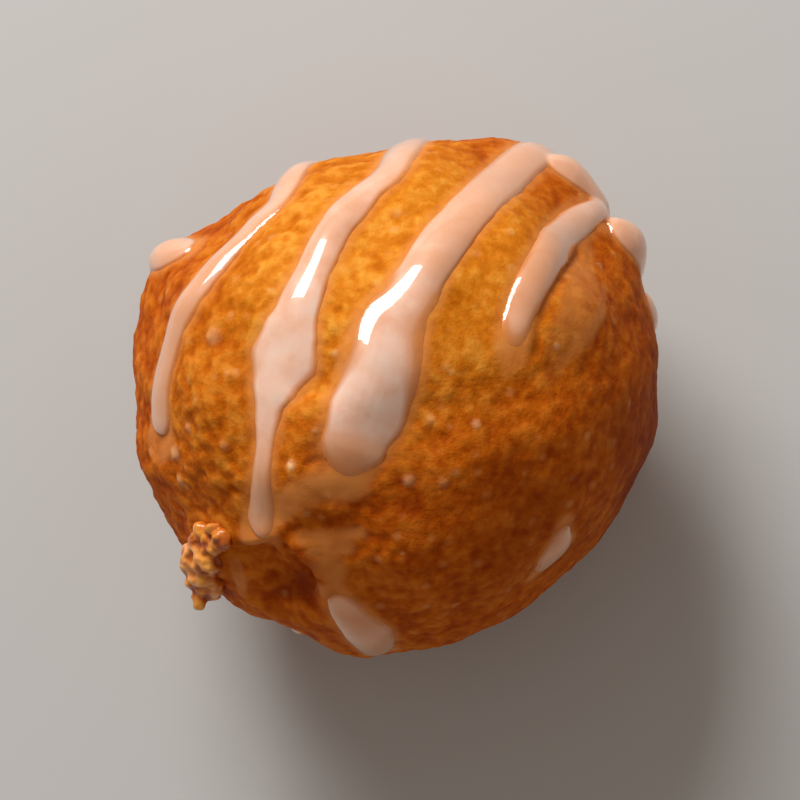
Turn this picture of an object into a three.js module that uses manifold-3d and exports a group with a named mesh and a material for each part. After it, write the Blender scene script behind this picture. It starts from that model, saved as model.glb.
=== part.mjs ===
// A doughnut hole: a ball of fried dough, about 35 mm wide, with icing drizzled over its face.
// Lengths are in millimetres, +Z is up, and the origin is the middle of the flat spot it rests on.

import * as THREE from 'three';
import { mergeVertices } from 'three/addons/utils/BufferGeometryUtils.js';
import Module from 'manifold-3d';

const wasm = await Module();
wasm.setup();

// Driving dimensions of the ball
const ballRadius = 17;           // across, before its swells and hollows
const ballFlatness = 0.94;       // height of the ball for each mm of its width
const centreHeight = 15;         // the ball's middle above the flat spot
const ballDetail = 15;           // cuts along each edge of the starting icosahedron
const crumbDetail = 1;

// The drizzled face looks up, leaning a little to one side
const faceLean = THREE.MathUtils.degToRad(10);
const faceBearing = THREE.MathUtils.degToRad(-57);

// Driving dimensions of the icing
const icingStep = 1.3;           // distance between two sections of a stripe
const icingEdgeSink = 0.1;       // how far a stripe's edge dips into the crust
const icingRootSink = 0.9;       // how far its underside lies in the dough
const icingRootWidth = 0.55;     // width of the underside as a share of the stripe's
const icingRoundness = 1.6;      // below 1 makes a section full, above 1 soft at its edges
const icingEndShares = [0.06, 0.3, 0.7];  // sections of a stripe's round end
const stripeMarks = 20;          // points along each leg of a stripe that its length is taken from
const headingReach = 0.05;       // share of a leg over which a stripe's heading is taken
const sectionAngles = [-90, -62, -30, 0, 30, 62, 90].map(THREE.MathUtils.degToRad);

// Axes of the face: places on it are given in mm to its right, up along it and out of it
const faceOut = new THREE.Vector3(
  Math.sin(faceLean) * Math.cos(faceBearing),
  Math.sin(faceLean) * Math.sin(faceBearing),
  Math.cos(faceLean),
);
const faceUp = new THREE.Vector3(0, 1, 0).addScaledVector(faceOut, -faceOut.y).normalize();
const faceRight = new THREE.Vector3().crossVectors(faceUp, faceOut);

// Broad swells (rise above 0) and hollows (below 0) of the dough, each fading over its spread
const swells = [
  { at: [8.3, 15.6, -1], rise: 1.6, spread: 6.2 },      // shoulder at the upper right
  { at: [-7.5, 15.2, -1], rise: -1, spread: 6 },        // flat between shoulder and ear
  { at: [-15.2, 9.4, -1], rise: 1, spread: 3.2 },       // tip of the ear at the left
  { at: [-16.4, 5.2, -1], rise: 1.4, spread: 4.8 },     // the ear's long lower side
  { at: [-16.5, -4.8, 0], rise: 0.4, spread: 4.5 },     // left flank
  { at: [0.5, 16.5, -1], rise: -0.4, spread: 4.5 },     // low place at the top of the rim
  { at: [10.4, -12.6, 4], rise: -1.3, spread: 8.5 },    // flat at the lower right
  { at: [3.5, 6.5], rise: 0.3, spread: 5 },             // crown, right of the middle
  { at: [11.8, 5.8], rise: 0.6, spread: 3.7 },          // swell by the right edge
  { at: [-11.5, 1.5], rise: 0.3, spread: 4 },           // low swell between two stripes
  { at: [-13.9, 6.2], rise: 0.6, spread: 3.4 },         // where the ear rises from the face
  { at: [4.5, -2.5], rise: -0.3, spread: 3.5 },         // dip below the crown
  { at: [-4.7, 1.6], rise: -0.45, spread: 1.7 },        // pit between the wide stripes
  { at: [-5.9, -1.6], rise: 0.4, spread: 1.7 },         // crag under that pit
  { at: [-8.2, -11.8], rise: -1.5, spread: 2.3 },       // dark hollow beside the torn nub
  { at: [-12.6, -10.5, 5.5], rise: 0.7, spread: 2.1 },  // root of the torn nub
  { at: [14.6, 11.2, 0], rise: 0.8, spread: 4 },        // rise under the drips at the upper right
  { at: [8, 9, -12], rise: 0.9, spread: 6 },            // lobe on the far side
  { at: [-8, 7, -13], rise: -0.7, spread: 5 },          // hollow on the far side
  { at: [-12, -8, -8], rise: 0.7, spread: 5 },          // swell under the torn nub
  { at: [3, -13, -9], rise: 0.5, spread: 5 },           // swell low on the near side
];

// Folds: the crust stands over the side that lies to the right of the path
const folds = [
  { path: [[-11.4, -9.5], [-9.6, -9.6], [-8.1, -9.2], [-6.7, -10.2], [-5.8, -11.6], [-5.5, -13.0]],
    depth: 1.0, reach: 2.0 },
  { path: [[-8.0, -8.8], [-6.6, -7.9], [-4.6, -7.5], [-2.2, -7.7]], depth: 0.25, reach: 1.6 },
  { path: [[-4.9, -0.2], [-5.8, 0.2], [-6.9, -0.6]], depth: 0.4, reach: 1.8 },
  { path: [[14, -6, -4], [12.5, -8, -8], [8, -11, -10]], depth: 0.8, reach: 2.2 },
  { path: [[-7, 14, -6], [-11, 10, -9], [-11, 3, -12], [-13, -3, -11]], depth: 0.9, reach: 2.4 },
];
const foldSamples = 12;          // points along each leg of a fold's path
const foldEndSamples = 2;        // points of full depth counted in at each end
const foldFade = 1.5;            // a fold dies out over this length past its ends
const foldEdge = 0.2;            // share of a fold's reach over which its side drops
const foldLip = 0.3;             // the lip rises by this share of the fold's depth
const foldLipReach = 0.5;        // and fades over this share of its reach

// Low, irregular waves over the whole crust
const waveCount = 14;
const waveShortest = 5.5;
const waveLongest = 12;
const waveHeight = 0.085;
const waveSeed = 41;

// Stripes and runs of icing. Each point is a place on the face, then the icing's width and height
const stripes = [
  // Thin stripe by the left edge
  [[-3.7, 13.9, -8.0, 2.6, 0.55], [-4.2, 14.6, -6.4, 2.0, 0.42], [-4.8, 15.1, -4.4, 1.9, 0.45],
    [-5.4, 15.5, -2.0, 2.5, 0.85], [-6.6, 14.9, 2.0, 2.6, 0.6], [-8.1, 13.5, null, 2.5, 0.3],
    [-10.0, 11.6, null, 2.6, 0.34], [-11.8, 9.2, null, 2.6, 0.7], [-13.1, 6.9, null, 2.5, 0.48],
    [-14.3, 4.7, null, 2.5, 0.44], [-15.4, 1.7, null, 2.8, 0.42], [-15.8, -2.4, null, 3.0, 0.42]],
  // Stripe with a bulge, left of the middle
  [[3.6, 12.9, -10.8, 3.2, 0.6], [3.0, 13.9, -9.2, 2.8, 0.5], [2.4, 15.2, -6.6, 2.2, 0.34],
    [1.4, 16.3, -3, 2.7, 0.36], [-0.4, 15.5, null, 3.0, 0.3], [-2.3, 14.0, null, 2.8, 0.4],
    [-4.3, 11.6, null, 2.8, 0.54], [-5.7, 8.6, null, 2.8, 0.42], [-6.7, 6.0, null, 3.3, 0.48],
    [-7.3, 4.4, null, 4.5, 0.5], [-7.8, 2.8, null, 5.4, 0.44], [-8.4, 0.9, null, 3.9, 0.36],
    [-8.8, -0.9, null, 2.5, 0.3], [-8.95, -3.4, null, 1.9, 0.27], [-9.1, -5.4, null, 2.1, 0.26],
    [-9.2, -7.2, null, 2.6, 0.26], [-9.4, -9.0, null, 2.7, 0.22]],
  // Widest stripe, down the middle
  [[10.4, 11.0, -9.2, 3.4, 0.65], [10.4, 12.1, -7.6, 3.0, 0.55], [10.2, 13.3, -5.6, 2.4, 0.38],
    [9.6, 14.4, -3, 2.7, 0.4], [8.0, 14.9, null, 2.9, 0.34], [6.3, 14.1, null, 3.2, 0.4],
    [4.4, 12.3, null, 3.4, 0.58], [3.0, 10.7, null, 3.5, 0.66], [1.6, 8.6, null, 3.7, 0.52],
    [0.7, 7.0, null, 4.0, 0.26], [-0.5, 4.9, null, 5.0, 0.2], [-1.2, 2.1, null, 5.9, 0.28],
    [-2.1, -0.6, null, 5.8, 0.52], [-3.0, -2.9, null, 4.7, 0.48], [-3.6, -5.2, null, 3.0, 0.04]],
  // Short stripe by the right edge
  [[13.0, 12.3, null, 1.5, 0.34], [11.3, 11.4, null, 2.6, 0.38], [9.9, 9.8, null, 2.8, 0.5],
    [8.6, 7.7, null, 2.6, 0.42], [7.7, 5.4, null, 2.3, 0.26], [7.4, 3.2, null, 2.0, 0.04]],
  // Runs by the rim: three at the upper right, one on the ear, one at the lower right, one at the foot
  [[9.4, 15.6, 2, 2.0, 0.5], [11.2, 14.9, 0.8, 2.9, 1.0], [12.8, 13.2, -0.5, 2.7, 0.8],
    [13.1, 12.6, -3, 2.2, 0.5]],
  [[14.0, 12.1, 2, 2.0, 0.7], [15.3, 10.7, 0.8, 2.9, 1.15], [15.9, 9.2, -1.5, 2.6, 0.8],
    [15.4, 8.4, -4.5, 1.9, 0.42], [14.5, 7.9, -7, 1.8, 0.42], [13.4, 7.6, -9, 2.6, 0.6]],
  [[16.2, 7.0, 1.5, 1.6, 0.3], [16.8, 5.7, 0, 2.4, 0.6], [16.8, 4.6, -2.4, 1.8, 0.4]],
  [[-14.4, 10.6, 3, 1.8, 0.3], [-15.2, 9.7, 0.5, 3.0, 0.75], [-15.3, 8.6, -2.6, 2.0, 0.4]],
  [[11.1, -8.4, null, 1.3, 0.24], [10.8, -10.3, null, 3.0, 0.5], [9.8, -12.3, null, 1.6, 0.3]],
  [[-4.4, -12.7, null, 1.7, 0.2], [-3.3, -14.1, null, 2.8, 0.44], [-2.0, -15.4, null, 3.3, 0.54],
    [-1.3, -16.3, 3.2, 2.3, 0.45]],
];

// Round drops of icing: a place, the drop's width and its height above the crust
const drops = [
  { at: [-6.8, -15.2, -1], width: 1.7, height: 0.5 },
  { at: [-14.2, 7.2, -6.0], width: 1.7, height: 0.4 },
  { at: [8.9, 10.2, -10.9], width: 1.9, height: 0.4 },
];
const dropRings = 3;
const dropSides = 10;

// Crumbs of the torn nub: a place, a radius and the lift of the crumb's middle off the crust
const crumbs = [
  { at: [-11.35, -8.95, 8.5], radius: 0.6, lift: 0.3 },
  { at: [-12.1, -8.35, 8.1], radius: 0.45, lift: 0.25 },
  { at: [-12.85, -8.45, 7.3], radius: 0.42, lift: 0.35 },
  { at: [-12.25, -9.4, 7.4], radius: 0.75, lift: 0.1 },
  { at: [-13.1, -9.2, 6.3], radius: 0.65, lift: 0.2 },
  { at: [-12.4, -10.3, 6.2], radius: 1.0, lift: -0.1 },
  { at: [-13.3, -10.1, 5.2], radius: 0.85, lift: 0.2 },
  { at: [-12.7, -11.2, 5], radius: 1.0, lift: 0.1 },
  { at: [-13.5, -11, 4.2], radius: 0.8, lift: 0.3 },
  { at: [-12.2, -11.8, 4.2], radius: 0.85, lift: 0.1 },
  { at: [-13, -12, 4], radius: 0.85, lift: 0.55 },
  { at: [-12.8, -10.9, 3], radius: 0.8, lift: -0.2 },
  { at: [-12.4, -12.5, 3.6], radius: 0.5, lift: 0.6 },
  { at: [-12.9, -12.8, 3.8], radius: 0.5, lift: 1.35 },
  { at: [-12.85, -13.3, 3.8], radius: 0.32, lift: 1.75 },
];
const crumbRoughness = 0.08;
const crumbLumps = 5;            // lumps across a crumb's corners
const crumbVariety = 9;          // sets neighbouring crumbs' lumps apart

const iced = new THREE.MeshStandardMaterial({ color: 0xc87a2e, roughness: 0.45, metalness: 0 });

// Turns a place on the face into a direction from the ball's middle
function towards([right, up, out]) {
  const depth = out ?? Math.sqrt(Math.max(0, ballRadius ** 2 - right ** 2 - up ** 2));
  return new THREE.Vector3()
    .addScaledVector(faceRight, right)
    .addScaledVector(faceUp, up)
    .addScaledVector(faceOut, depth)
    .normalize();
}

// Smooth curve through directions, at t from 0 to the number of legs
function along(points, t) {
  const leg = Math.min(Math.floor(t), points.length - 2);
  const s = t - leg;
  const b = points[leg];
  const c = points[leg + 1];
  const a = leg > 0 ? points[leg - 1] : b.clone().multiplyScalar(2).sub(c);
  const d = leg + 2 < points.length ? points[leg + 2] : c.clone().multiplyScalar(2).sub(b);
  return new THREE.Vector3()
    .addScaledVector(a, 0.5 * (-s + 2 * s ** 2 - s ** 3))
    .addScaledVector(b, 0.5 * (2 - 5 * s ** 2 + 3 * s ** 3))
    .addScaledVector(c, 0.5 * (s + 4 * s ** 2 - 3 * s ** 3))
    .addScaledVector(d, 0.5 * (-(s ** 2) + s ** 3))
    .normalize();
}

// Seeded draws between 0 and 1, by a linear congruential rule
function makeDraw(seed) {
  const factor = 1664525;
  const increment = 1013904223;
  const span = 2 ** 32;
  let state = seed;
  return () => {
    state = (state * factor + increment) % span;
    return state / span;
  };
}

function makeWaves() {
  const draw = makeDraw(waveSeed);
  const waves = [];
  for (let i = 0; i < waveCount; i += 1) {
    const height = 2 * draw() - 1;
    const turn = 2 * Math.PI * draw();
    const level = Math.sqrt(1 - height ** 2);
    const wavelength = waveShortest + (waveLongest - waveShortest) * draw();
    const phase = 2 * Math.PI * draw();
    const heading = new THREE.Vector3(level * Math.cos(turn), level * Math.sin(turn), height);
    waves.push({ heading: heading.multiplyScalar((2 * Math.PI * ballRadius) / wavelength), phase });
  }
  return waves;
}

const waves = makeWaves();
const swellTable = swells.map(({ at, rise, spread }) => ({ toward: towards(at), rise, spread }));
const foldTable = folds.map(({ path, depth, reach }) => {
  const points = path.map(towards);
  const samples = [];
  for (let i = 0; i <= foldSamples * (points.length - 1); i += 1) {
    samples.push(along(points, i / foldSamples));
  }
  return { samples, depth, reach };
});

// Distance over the ball between two directions
function arc(a, b) {
  return ballRadius * Math.acos(THREE.MathUtils.clamp(a.dot(b), -1, 1));
}

// Height that one fold adds: a lip on its left side, a step down on its right that recovers
function foldRelief(direction, { samples, depth, reach }) {
  let nearest = 0;
  let best = Infinity;
  samples.forEach((sample, i) => {
    const distance = arc(direction, sample);
    if (distance < best) {
      best = distance;
      nearest = i;
    }
  });
  const before = samples[Math.max(nearest - 1, 0)];
  const after = samples[Math.min(nearest + 1, samples.length - 1)];
  const heading = after.clone().sub(before).normalize();
  const offset = direction.clone().sub(samples[nearest]).multiplyScalar(ballRadius);
  const past = offset.dot(heading);
  const aside = offset.dot(new THREE.Vector3().crossVectors(heading, samples[nearest]));
  const atEnd = nearest === 0 || nearest === samples.length - 1;
  const fade = atEnd ? Math.exp(-((past / foldFade) ** 2)) : 1;
  const inward = Math.min(nearest, samples.length - 1 - nearest) + foldEndSamples;
  const share = aside / reach;
  const edge = Math.min(1, Math.abs(share) / foldEdge);
  const step = share > 0
    ? -depth * edge * Math.exp(-(share ** 2))
    : foldLip * depth * edge * Math.exp(-((share / foldLipReach) ** 2));
  return step * fade * Math.min(1, inward / foldSamples);
}

// Distance from the ball's middle to the crust
function crustRadius(direction) {
  const { x, y, z } = direction;
  let radius = ballRadius / Math.sqrt(x ** 2 + y ** 2 + (z / ballFlatness) ** 2);
  for (const { toward, rise, spread } of swellTable) {
    radius += rise * Math.exp(-((arc(direction, toward) / spread) ** 2));
  }
  for (const fold of foldTable) {
    radius += foldRelief(direction, fold);
  }
  for (const { heading, phase } of waves) {
    radius += waveHeight * Math.sin(direction.dot(heading) + phase);
  }
  return radius;
}

// Point a given height above the crust, in the part's frame
function onCrust(direction, height) {
  const point = direction.clone().multiplyScalar(crustRadius(direction) + height);
  point.z += centreHeight;
  return point;
}

function toSolid(positions, triangles) {
  return new wasm.Manifold(new wasm.Mesh({
    numProp: 3,
    vertProperties: Float32Array.from(positions),
    triVerts: Uint32Array.from(triangles),
  }));
}

// Closed solid from a three.js sphere-like geometry whose points are moved by a function
function shapedSolid(geometry, move) {
  geometry.deleteAttribute('normal');
  geometry.deleteAttribute('uv');
  const merged = mergeVertices(geometry, 1e-4);
  const places = merged.getAttribute('position');
  const positions = [];
  for (let i = 0; i < places.count; i += 1) {
    positions.push(...move(new THREE.Vector3().fromBufferAttribute(places, i)).toArray());
  }
  return toSolid(positions, merged.getIndex().array);
}

// The ball of dough, cut off level where it rests
function makeDough() {
  return shapedSolid(new THREE.IcosahedronGeometry(1, ballDetail), (direction) => {
    const point = onCrust(direction.normalize(), 0);
    point.z = Math.max(point.z, 0);
    return point;
  });
}

// Rounding of a stripe towards its ends: 0 at the very end, 1 from half a width inwards
function endRounding(distance, width) {
  const share = Math.min(1, distance / (0.5 * width));
  return Math.sqrt(1 - (1 - share) ** 2);
}

// Distances along a stripe: close together at its round ends, even between them
function stripeStations(length, firstWidth, lastWidth) {
  const first = icingEndShares.map((share) => share * 0.5 * firstWidth);
  const last = icingEndShares.map((share) => length - share * 0.5 * lastWidth).reverse();
  const inner = length - 0.5 * (firstWidth + lastWidth);
  const steps = Math.max(1, Math.round(inner / icingStep));
  const middle = [];
  for (let i = 0; i <= steps; i += 1) {
    middle.push(0.5 * firstWidth + (inner * i) / steps);
  }
  return [...first, ...middle, ...last];
}

// One stripe of icing: round-topped sections that follow the crust, closed at both ends
function makeStripe(points) {
  const directions = points.map(towards);
  const widths = points.map((point) => point[3]);
  const heights = points.map((point) => point[4]);
  const marks = [{ t: 0, distance: 0 }];
  for (let i = 1; i <= stripeMarks * (directions.length - 1); i += 1) {
    const t = i / stripeMarks;
    const gap = arc(along(directions, t), along(directions, marks[i - 1].t));
    marks.push({ t, distance: marks[i - 1].distance + gap });
  }
  const length = marks[marks.length - 1].distance;
  const tAt = (distance) => {
    const next = Math.max(1, marks.findIndex((mark) => mark.distance >= distance));
    const from = marks[next - 1];
    const to = marks[next];
    return from.t + (to.t - from.t) * ((distance - from.distance) / (to.distance - from.distance));
  };
  const valueAt = (values, t) => {
    const leg = Math.min(Math.floor(t), values.length - 2);
    return THREE.MathUtils.lerp(values[leg], values[leg + 1], THREE.MathUtils.smoothstep(t - leg, 0, 1));
  };

  const positions = [];
  const sides = sectionAngles.length + 2;
  const stations = stripeStations(length, widths[0], widths[widths.length - 1]);
  positions.push(...onCrust(along(directions, 0), -0.5 * icingRootSink).toArray());
  for (const station of stations) {
    const t = tAt(station);
    const direction = along(directions, t);
    const ahead = along(directions, Math.min(t + headingReach, directions.length - 1));
    const behind = along(directions, Math.max(t - headingReach, 0));
    const heading = ahead.sub(behind).normalize();
    const side = new THREE.Vector3().crossVectors(heading, direction).normalize();
    const width = valueAt(widths, t);
    const rounding = endRounding(station, widths[0])
      * endRounding(length - station, widths[widths.length - 1]);
    const height = valueAt(heights, t) * rounding;
    const halfWidth = 0.5 * width * rounding;
    const pushPoint = (across, lift) => {
      const turned = direction.clone().addScaledVector(side, across / ballRadius).normalize();
      positions.push(...onCrust(turned, lift).toArray());
    };
    for (const angle of sectionAngles) {
      const dome = Math.cos(angle) ** icingRoundness;
      pushPoint(halfWidth * Math.sin(angle), -icingEdgeSink + (height + icingEdgeSink) * dome);
    }
    pushPoint(halfWidth * icingRootWidth, -icingRootSink);
    pushPoint(-halfWidth * icingRootWidth, -icingRootSink);
  }
  const lastPoint = positions.length / 3;
  positions.push(...onCrust(along(directions, directions.length - 1), -0.5 * icingRootSink).toArray());

  const triangles = [];
  for (let i = 0; i < sides; i += 1) {
    const j = (i + 1) % sides;
    triangles.push(0, 1 + j, 1 + i);
    for (let ring = 0; ring < stations.length - 1; ring += 1) {
      const here = 1 + ring * sides;
      const next = here + sides;
      triangles.push(here + i, here + j, next + i, here + j, next + j, next + i);
    }
    const end = 1 + (stations.length - 1) * sides;
    triangles.push(lastPoint, end + i, end + j);
  }
  return toSolid(positions, triangles);
}

// One drop of icing: a low round dome on the crust with its root in the dough
function makeDrop({ at, width, height }) {
  const middle = towards(at);
  const sideways = new THREE.Vector3().crossVectors(middle, faceOut).normalize();
  const onwards = new THREE.Vector3().crossVectors(middle, sideways);
  const positions = [...onCrust(middle, height).toArray()];
  const pushRing = (radius, lift) => {
    for (let i = 0; i < dropSides; i += 1) {
      const turn = (2 * Math.PI * i) / dropSides;
      const direction = middle.clone()
        .addScaledVector(sideways, (radius * Math.cos(turn)) / ballRadius)
        .addScaledVector(onwards, (radius * Math.sin(turn)) / ballRadius)
        .normalize();
      positions.push(...onCrust(direction, lift).toArray());
    }
  };
  for (let ring = 1; ring <= dropRings; ring += 1) {
    const angle = (0.5 * Math.PI * ring) / dropRings;
    const dome = Math.max(0, Math.cos(angle)) ** icingRoundness;
    pushRing(0.5 * width * Math.sin(angle), -icingEdgeSink + (height + icingEdgeSink) * dome);
  }
  positions.push(...onCrust(middle, -icingRootSink).toArray());

  const triangles = [];
  const root = 1 + dropRings * dropSides;
  for (let i = 0; i < dropSides; i += 1) {
    const j = (i + 1) % dropSides;
    triangles.push(0, 1 + i, 1 + j);
    for (let ring = 0; ring < dropRings - 1; ring += 1) {
      const here = 1 + ring * dropSides;
      const next = here + dropSides;
      triangles.push(here + i, next + i, here + j, here + j, next + i, next + j);
    }
    triangles.push(root, root - dropSides + j, root - dropSides + i);
  }
  return toSolid(positions, triangles);
}

// One crumb of the torn nub: a small uneven lump
function makeCrumb({ at, radius, lift }) {
  const middle = onCrust(towards(at), lift);
  return shapedSolid(new THREE.IcosahedronGeometry(1, crumbDetail), (corner) => {
    const bump = Math.sin(crumbLumps * corner.x + crumbVariety * at[0])
      * Math.sin(crumbLumps * corner.y + crumbVariety * at[1]);
    return corner.multiplyScalar(radius * (1 + crumbRoughness * bump)).add(middle);
  });
}

// Dough, torn crumbs and icing, joined into the one piece that they are
function makeHole() {
  let solid = makeDough();
  for (const crumb of crumbs) {
    solid = solid.add(makeCrumb(crumb));
  }
  for (const stripe of stripes) {
    solid = solid.add(makeStripe(stripe));
  }
  for (const drop of drops) {
    solid = solid.add(makeDrop(drop));
  }
  const { numProp, vertProperties, triVerts } = solid.getMesh();
  const geometry = new THREE.BufferGeometry();
  geometry.setAttribute('position', new THREE.Float32BufferAttribute(vertProperties, numProp));
  geometry.setIndex(Array.from(triVerts));
  geometry.computeVertexNormals();
  return geometry;
}

const hole = new THREE.Mesh(makeHole(), iced);
hole.name = 'doughnut_hole';

const group = new THREE.Group();
group.add(hole);

export default group;
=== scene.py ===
import math

import bmesh
import bpy
import numpy as np
from mathutils import Matrix, Vector, noise


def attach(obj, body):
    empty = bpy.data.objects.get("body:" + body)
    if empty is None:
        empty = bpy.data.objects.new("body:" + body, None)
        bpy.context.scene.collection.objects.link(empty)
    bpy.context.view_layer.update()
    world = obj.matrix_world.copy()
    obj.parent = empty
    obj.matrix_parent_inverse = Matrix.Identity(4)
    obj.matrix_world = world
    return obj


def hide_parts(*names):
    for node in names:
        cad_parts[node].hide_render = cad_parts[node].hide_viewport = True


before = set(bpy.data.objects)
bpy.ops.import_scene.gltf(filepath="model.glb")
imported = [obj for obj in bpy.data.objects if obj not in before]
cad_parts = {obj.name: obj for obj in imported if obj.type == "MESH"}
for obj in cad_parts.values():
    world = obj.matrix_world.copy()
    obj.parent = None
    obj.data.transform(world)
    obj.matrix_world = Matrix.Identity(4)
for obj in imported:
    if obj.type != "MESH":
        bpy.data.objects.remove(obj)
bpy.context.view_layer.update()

mm = 0.001  # the dictionaries hold millimetres and Blender's unit is the metre
holeNode = "doughnut_hole"


# The ball's form, from the same named values as its solid

ball = {
    "radius": 17.0,
    "flatness": 0.94,  # height for each mm of width
    "centreHeight": 15.0,  # the middle above the flat spot it rests on
    "faceLean": 10.0,  # degrees between the iced face and straight up
    "faceBearing": -57.0,
}

# A place is [right, up] on the iced face, with a third number out of it past the rim
swells = [
    {"at": [8.3, 15.6, -1], "rise": 1.6, "spread": 6.2},  # shoulder at the upper right
    {"at": [-7.5, 15.2, -1], "rise": -1, "spread": 6},  # flat between shoulder and ear
    {"at": [-15.2, 9.4, -1], "rise": 1, "spread": 3.2},  # tip of the ear at the left
    {"at": [-16.4, 5.2, -1], "rise": 1.4, "spread": 4.8},  # the ear's long lower side
    {"at": [-16.5, -4.8, 0], "rise": 0.4, "spread": 4.5},  # left flank
    {"at": [0.5, 16.5, -1], "rise": -0.4, "spread": 4.5},  # low place at the top of the rim
    {"at": [10.4, -12.6, 4], "rise": -1.3, "spread": 8.5},  # flat at the lower right
    {"at": [3.5, 6.5], "rise": 0.3, "spread": 5},  # crown, right of the middle
    {"at": [11.8, 5.8], "rise": 0.6, "spread": 3.7},  # swell by the right edge
    {"at": [-11.5, 1.5], "rise": 0.3, "spread": 4},  # low swell between two stripes
    {"at": [-13.9, 6.2], "rise": 0.6, "spread": 3.4},  # where the ear rises from the face
    {"at": [4.5, -2.5], "rise": -0.3, "spread": 3.5},  # dip below the crown
    {"at": [-4.7, 1.6], "rise": -0.45, "spread": 1.7},  # pit between the wide stripes
    {"at": [-5.9, -1.6], "rise": 0.4, "spread": 1.7},  # crag under that pit
    {"at": [-8.2, -11.8], "rise": -1.5, "spread": 2.3},  # dark hollow beside the torn nub
    {"at": [-12.6, -10.5, 5.5], "rise": 0.7, "spread": 2.1},  # root of the torn nub
    {"at": [14.6, 11.2, 0], "rise": 0.8, "spread": 4},  # rise under the drips at the upper right
    {"at": [8, 9, -12], "rise": 0.9, "spread": 6},  # lobe on the far side
    {"at": [-8, 7, -13], "rise": -0.7, "spread": 5},  # hollow on the far side
    {"at": [-12, -8, -8], "rise": 0.7, "spread": 5},  # swell under the torn nub
    {"at": [3, -13, -9], "rise": 0.5, "spread": 5},  # swell low on the near side
]

# The crust stands over the side that lies to the right of a fold's path
folds = [
    {"path": [[-11.4, -9.5], [-9.6, -9.6], [-8.1, -9.2], [-6.7, -10.2], [-5.8, -11.6], [-5.5, -13.0]],
     "depth": 1.0, "reach": 2.0},
    {"path": [[-8.0, -8.8], [-6.6, -7.9], [-4.6, -7.5], [-2.2, -7.7]], "depth": 0.25, "reach": 1.6},
    {"path": [[-4.9, -0.2], [-5.8, 0.2], [-6.9, -0.6]], "depth": 0.4, "reach": 1.8},
    {"path": [[14, -6, -4], [12.5, -8, -8], [8, -11, -10]], "depth": 0.8, "reach": 2.2},
    {"path": [[-7, 14, -6], [-11, 10, -9], [-11, 3, -12], [-13, -3, -11]], "depth": 0.9, "reach": 2.4},
]
foldShape = {"samples": 12, "endSamples": 2, "fade": 1.5, "edge": 0.2, "lip": 0.3, "lipReach": 0.5}

# Low, irregular waves over the whole crust
waveShape = {"count": 14, "shortest": 5.5, "longest": 12.0, "height": 0.085, "seed": 41}
drawRule = {"factor": 1664525, "increment": 1013904223, "span": 2**32}  # for seeded draws from 0 to 1


def unit(vectors):
    return vectors / np.linalg.norm(vectors, axis=-1, keepdims=True)


def faceAxes():
    lean, bearing = math.radians(ball["faceLean"]), math.radians(ball["faceBearing"])
    level = math.sin(lean)
    out = np.array([level * math.cos(bearing), level * math.sin(bearing), math.cos(lean)])
    up = unit(np.array([0.0, 1.0, 0.0]) - out * out[1])
    return np.cross(up, out), up, out


faceRight, faceUp, faceOut = faceAxes()


def towards(place):  # a place on the face as a direction from the ball's middle
    right, up = place[:2]
    front = math.sqrt(max(0.0, ball["radius"] ** 2 - right**2 - up**2))
    out = place[2] if len(place) > 2 and place[2] is not None else front
    return unit(right * faceRight + up * faceUp + out * faceOut)


def along(points, t):  # smooth curve through directions, t from 0 to the number of legs
    t = np.atleast_1d(np.asarray(t, float))
    leg = np.minimum(t.astype(int), len(points) - 2)
    s = (t - leg)[:, None]
    ends = np.vstack([2 * points[0] - points[1], points, 2 * points[-1] - points[-2]])
    a, b, c, d = (ends[leg + k] for k in range(4))
    curve = (a * (-s + 2 * s**2 - s**3) + b * (2 - 5 * s**2 + 3 * s**3)
             + c * (s + 4 * s**2 - 3 * s**3) + d * (-(s**2) + s**3))
    return unit(0.5 * curve)


def makeWaves():
    state = waveShape["seed"]
    waves = []
    for _ in range(waveShape["count"]):
        draws = []
        for _ in range(4):
            state = (state * drawRule["factor"] + drawRule["increment"]) % drawRule["span"]
            draws.append(state / drawRule["span"])
        height, turn = 2 * draws[0] - 1, 2 * math.pi * draws[1]
        level = math.sqrt(1 - height**2)
        length = waveShape["shortest"] + (waveShape["longest"] - waveShape["shortest"]) * draws[2]
        heading = np.array([level * math.cos(turn), level * math.sin(turn), height])
        waves.append((heading * 2 * math.pi * ball["radius"] / length, 2 * math.pi * draws[3]))
    return waves


waves = makeWaves()


def arcOf(cosines):  # distance over the ball that goes with the cosine of an angle
    return ball["radius"] * np.arccos(np.clip(cosines, -1, 1))


def arc(directions, other):
    return arcOf(directions @ other)


def foldRelief(directions, fold):  # a lip on the path's left, a step down on its right that recovers
    points = np.array([towards(place) for place in fold["path"]])
    count = foldShape["samples"] * (len(points) - 1) + 1
    samples = along(points, np.arange(count) / foldShape["samples"])
    nearest = np.argmax(directions @ samples.T, axis=1)
    heading = unit(samples[np.minimum(np.arange(count) + 1, count - 1)]
                   - samples[np.maximum(np.arange(count) - 1, 0)])
    sideways = np.cross(heading, samples)
    offset = (directions - samples[nearest]) * ball["radius"]
    past = np.sum(offset * heading[nearest], axis=1)
    share = np.sum(offset * sideways[nearest], axis=1) / fold["reach"]
    atEnd = (nearest == 0) | (nearest == count - 1)
    fade = np.where(atEnd, np.exp(-((past / foldShape["fade"]) ** 2)), 1)
    inward = np.minimum(nearest, count - 1 - nearest) + foldShape["endSamples"]
    edge = np.minimum(1, np.abs(share) / foldShape["edge"])
    drop = -fold["depth"] * edge * np.exp(-(share**2))
    lip = foldShape["lip"] * fold["depth"] * edge * np.exp(-((share / foldShape["lipReach"]) ** 2))
    return np.where(share > 0, drop, lip) * fade * np.minimum(1, inward / foldShape["samples"])


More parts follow.
